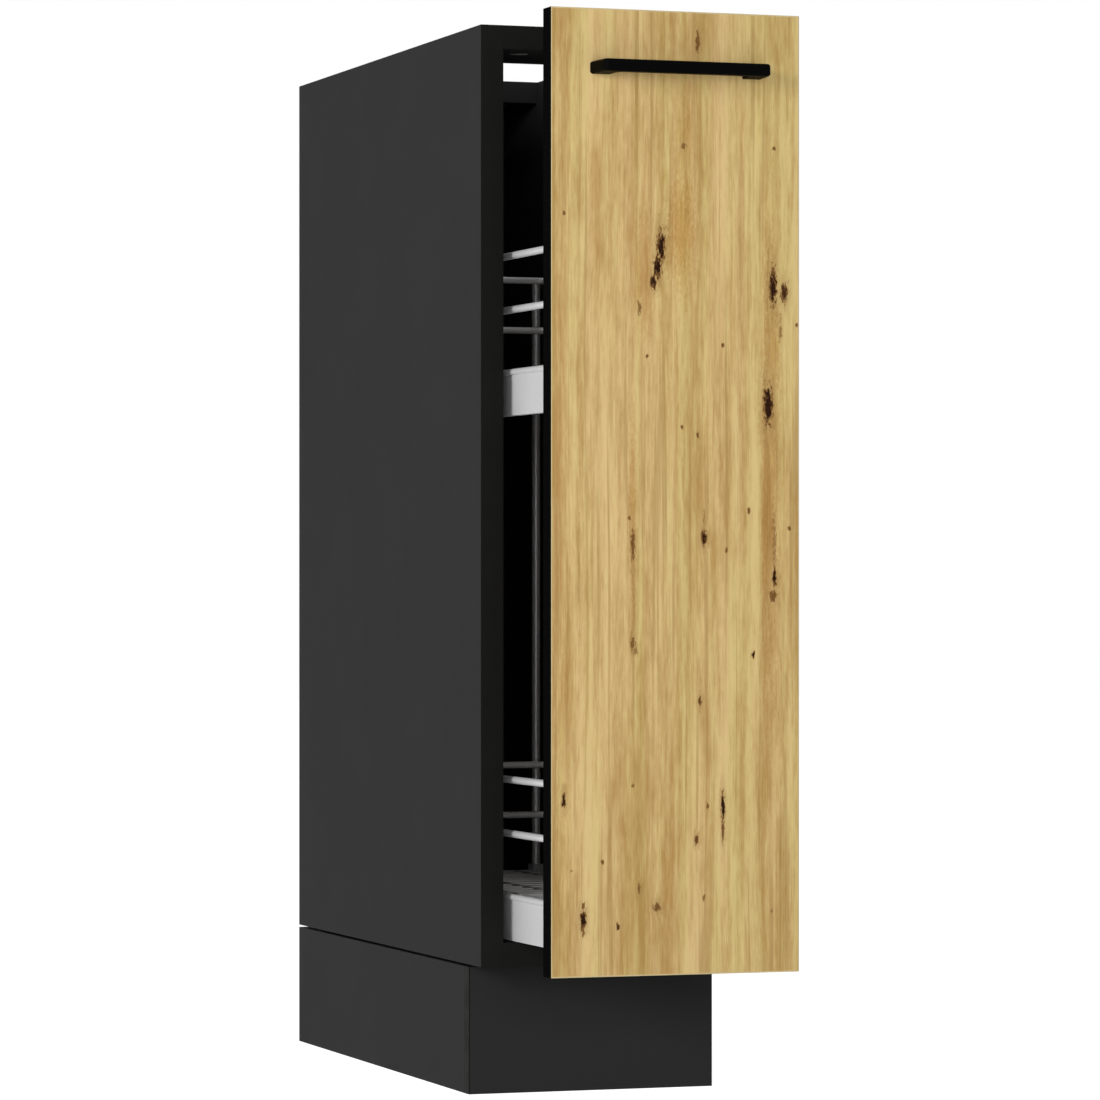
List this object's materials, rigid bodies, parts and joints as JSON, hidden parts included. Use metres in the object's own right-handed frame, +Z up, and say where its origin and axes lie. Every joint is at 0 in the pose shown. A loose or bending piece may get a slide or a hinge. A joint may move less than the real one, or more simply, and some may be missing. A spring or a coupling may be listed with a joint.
{
  "type": "pull-out pantry cabinet",
  "caption": "Narrow base cabinet whose tall front panel pulls out two wire baskets on a ball-bearing runner, over a recessed plinth.",
  "frame": {"origin": "centre of the carcass footprint on the floor", "axes": "+Z up, -Y towards the user and out along the runner, +X to the user's right when facing the front panel"},
  "size_m": [0.2, 0.685, 0.82],
  "materials": {
    "carcass_board": "matt graphite melamine",
    "back_board": "matt lacquered hardboard",
    "edge_strip": "matt black edge strip",
    "zinc": "zinc plated",
    "beech": "plain beech",
    "leg_plastic": "moulded, matt",
    "runner_steel": "zinc plated sheet",
    "ball_steel": "polished",
    "soft_close_plastic": "moulded grey",
    "oak": "knotty oak decor, fine matt",
    "handle_black": "satin black",
    "chrome_wire": "satin chrome, light grey",
    "side_paint": "light grey powder coat"
  },
  "bodies": {
    "carcass": {"back_panel": "back_board", "bottom_panel": "carcass_board", "cam_bolts": "zinc", "cam_locks": "zinc", "carcass_edging": "edge_strip", "dowels": "beech", "leg_screws": "zinc", "leg_sockets": "leg_plastic", "plinth_clips": "leg_plastic", "plinth_edging": "edge_strip", "plinth_front": "carcass_board", "plinth_left": "carcass_board", "plinth_right": "carcass_board", "runner_base": "runner_steel", "runner_base_screws": "zinc", "runner_outer_left": "runner_steel", "runner_outer_right": "runner_steel", "side_panel_left": "carcass_board", "side_panel_right": "carcass_board", "soft_close_housing": "soft_close_plastic", "top_rail_front": "carcass_board", "top_rail_rear": "carcass_board"},
    "pull_out": {"basket_clips": "soft_close_plastic", "carriage": "runner_steel", "carriage_screws": "zinc", "frame_bolts": "zinc", "front_bracket_screws": "zinc", "front_brackets": "runner_steel", "front_edging": "edge_strip", "front_hoop": "chrome_wire", "front_panel": "oak", "handle": "handle_black", "handle_screws": "zinc", "lower_basket_floor": "chrome_wire", "lower_basket_low_rail": "chrome_wire", "lower_basket_side_left": "side_paint", "lower_basket_side_right": "side_paint", "lower_basket_top_rail": "chrome_wire", "rear_rod_left": "chrome_wire", "rear_rod_right": "chrome_wire", "runner_inner_left": "runner_steel", "runner_inner_right": "runner_steel", "upper_basket_floor": "chrome_wire", "upper_basket_low_rail": "chrome_wire", "upper_basket_side_left": "side_paint", "upper_basket_side_right": "side_paint", "upper_basket_top_rail": "chrome_wire"},
    "runner_middle": {"runner_middle_left": "runner_steel", "runner_middle_right": "runner_steel"},
    "ball_cage_outer": {"ball_cages_outer": "runner_steel", "balls_outer": "ball_steel"},
    "ball_cage_inner": {"ball_cages_inner": "runner_steel", "balls_inner": "ball_steel"},
    "soft_close_catch": {"soft_close_catch": "soft_close_plastic"},
    "foot_front_left": {"foot_front_left": "leg_plastic"},
    "foot_front_right": {"foot_front_right": "leg_plastic"},
    "foot_rear_left": {"foot_rear_left": "leg_plastic"},
    "foot_rear_right": {"foot_rear_right": "leg_plastic"}
  },
  "joints": [
    {"name": "pull_out_slide", "type": "slide", "parent": "carcass", "child": "pull_out", "axis": [0, -1, 0], "range_m": [-0.138, 0.302]},
    {"name": "runner_middle_slide", "type": "slide", "parent": "carcass", "child": "runner_middle", "axis": [0, -1, 0], "range_m": [-0.069, 0.151]},
    {"name": "ball_cage_outer_slide", "type": "slide", "parent": "carcass", "child": "ball_cage_outer", "axis": [0, -1, 0], "range_m": [-0.0345, 0.0755]},
    {"name": "ball_cage_inner_slide", "type": "slide", "parent": "carcass", "child": "ball_cage_inner", "axis": [0, -1, 0], "range_m": [-0.1035, 0.2265]},
    {"name": "soft_close_catch_slide", "type": "slide", "parent": "carcass", "child": "soft_close_catch", "axis": [0, 1, 0], "range_m": [0, 0.045]},
    {"name": "foot_front_left_turn", "type": "hinge", "parent": "carcass", "child": "foot_front_left", "pos_m": [-0.062, -0.165, 0.02], "axis": [0, 0, 1], "range_deg": [-360, 1080]},
    {"name": "foot_front_right_turn", "type": "hinge", "parent": "carcass", "child": "foot_front_right", "pos_m": [0.062, -0.165, 0.02], "axis": [0, 0, 1], "range_deg": [-360, 1080]},
    {"name": "foot_rear_left_turn", "type": "hinge", "parent": "carcass", "child": "foot_rear_left", "pos_m": [-0.062, 0.19, 0.02], "axis": [0, 0, 1], "range_deg": [-360, 1080]},
    {"name": "foot_rear_right_turn", "type": "hinge", "parent": "carcass", "child": "foot_rear_right", "pos_m": [0.062, 0.19, 0.02], "axis": [0, 0, 1], "range_deg": [-360, 1080]}
  ],
  "couplings": [
    {"joint": "runner_middle_slide", "follows": "pull_out_slide", "ratio": 0.5},
    {"joint": "ball_cage_outer_slide", "follows": "pull_out_slide", "ratio": 0.25},
    {"joint": "ball_cage_inner_slide", "follows": "pull_out_slide", "ratio": 0.75}
  ]
}
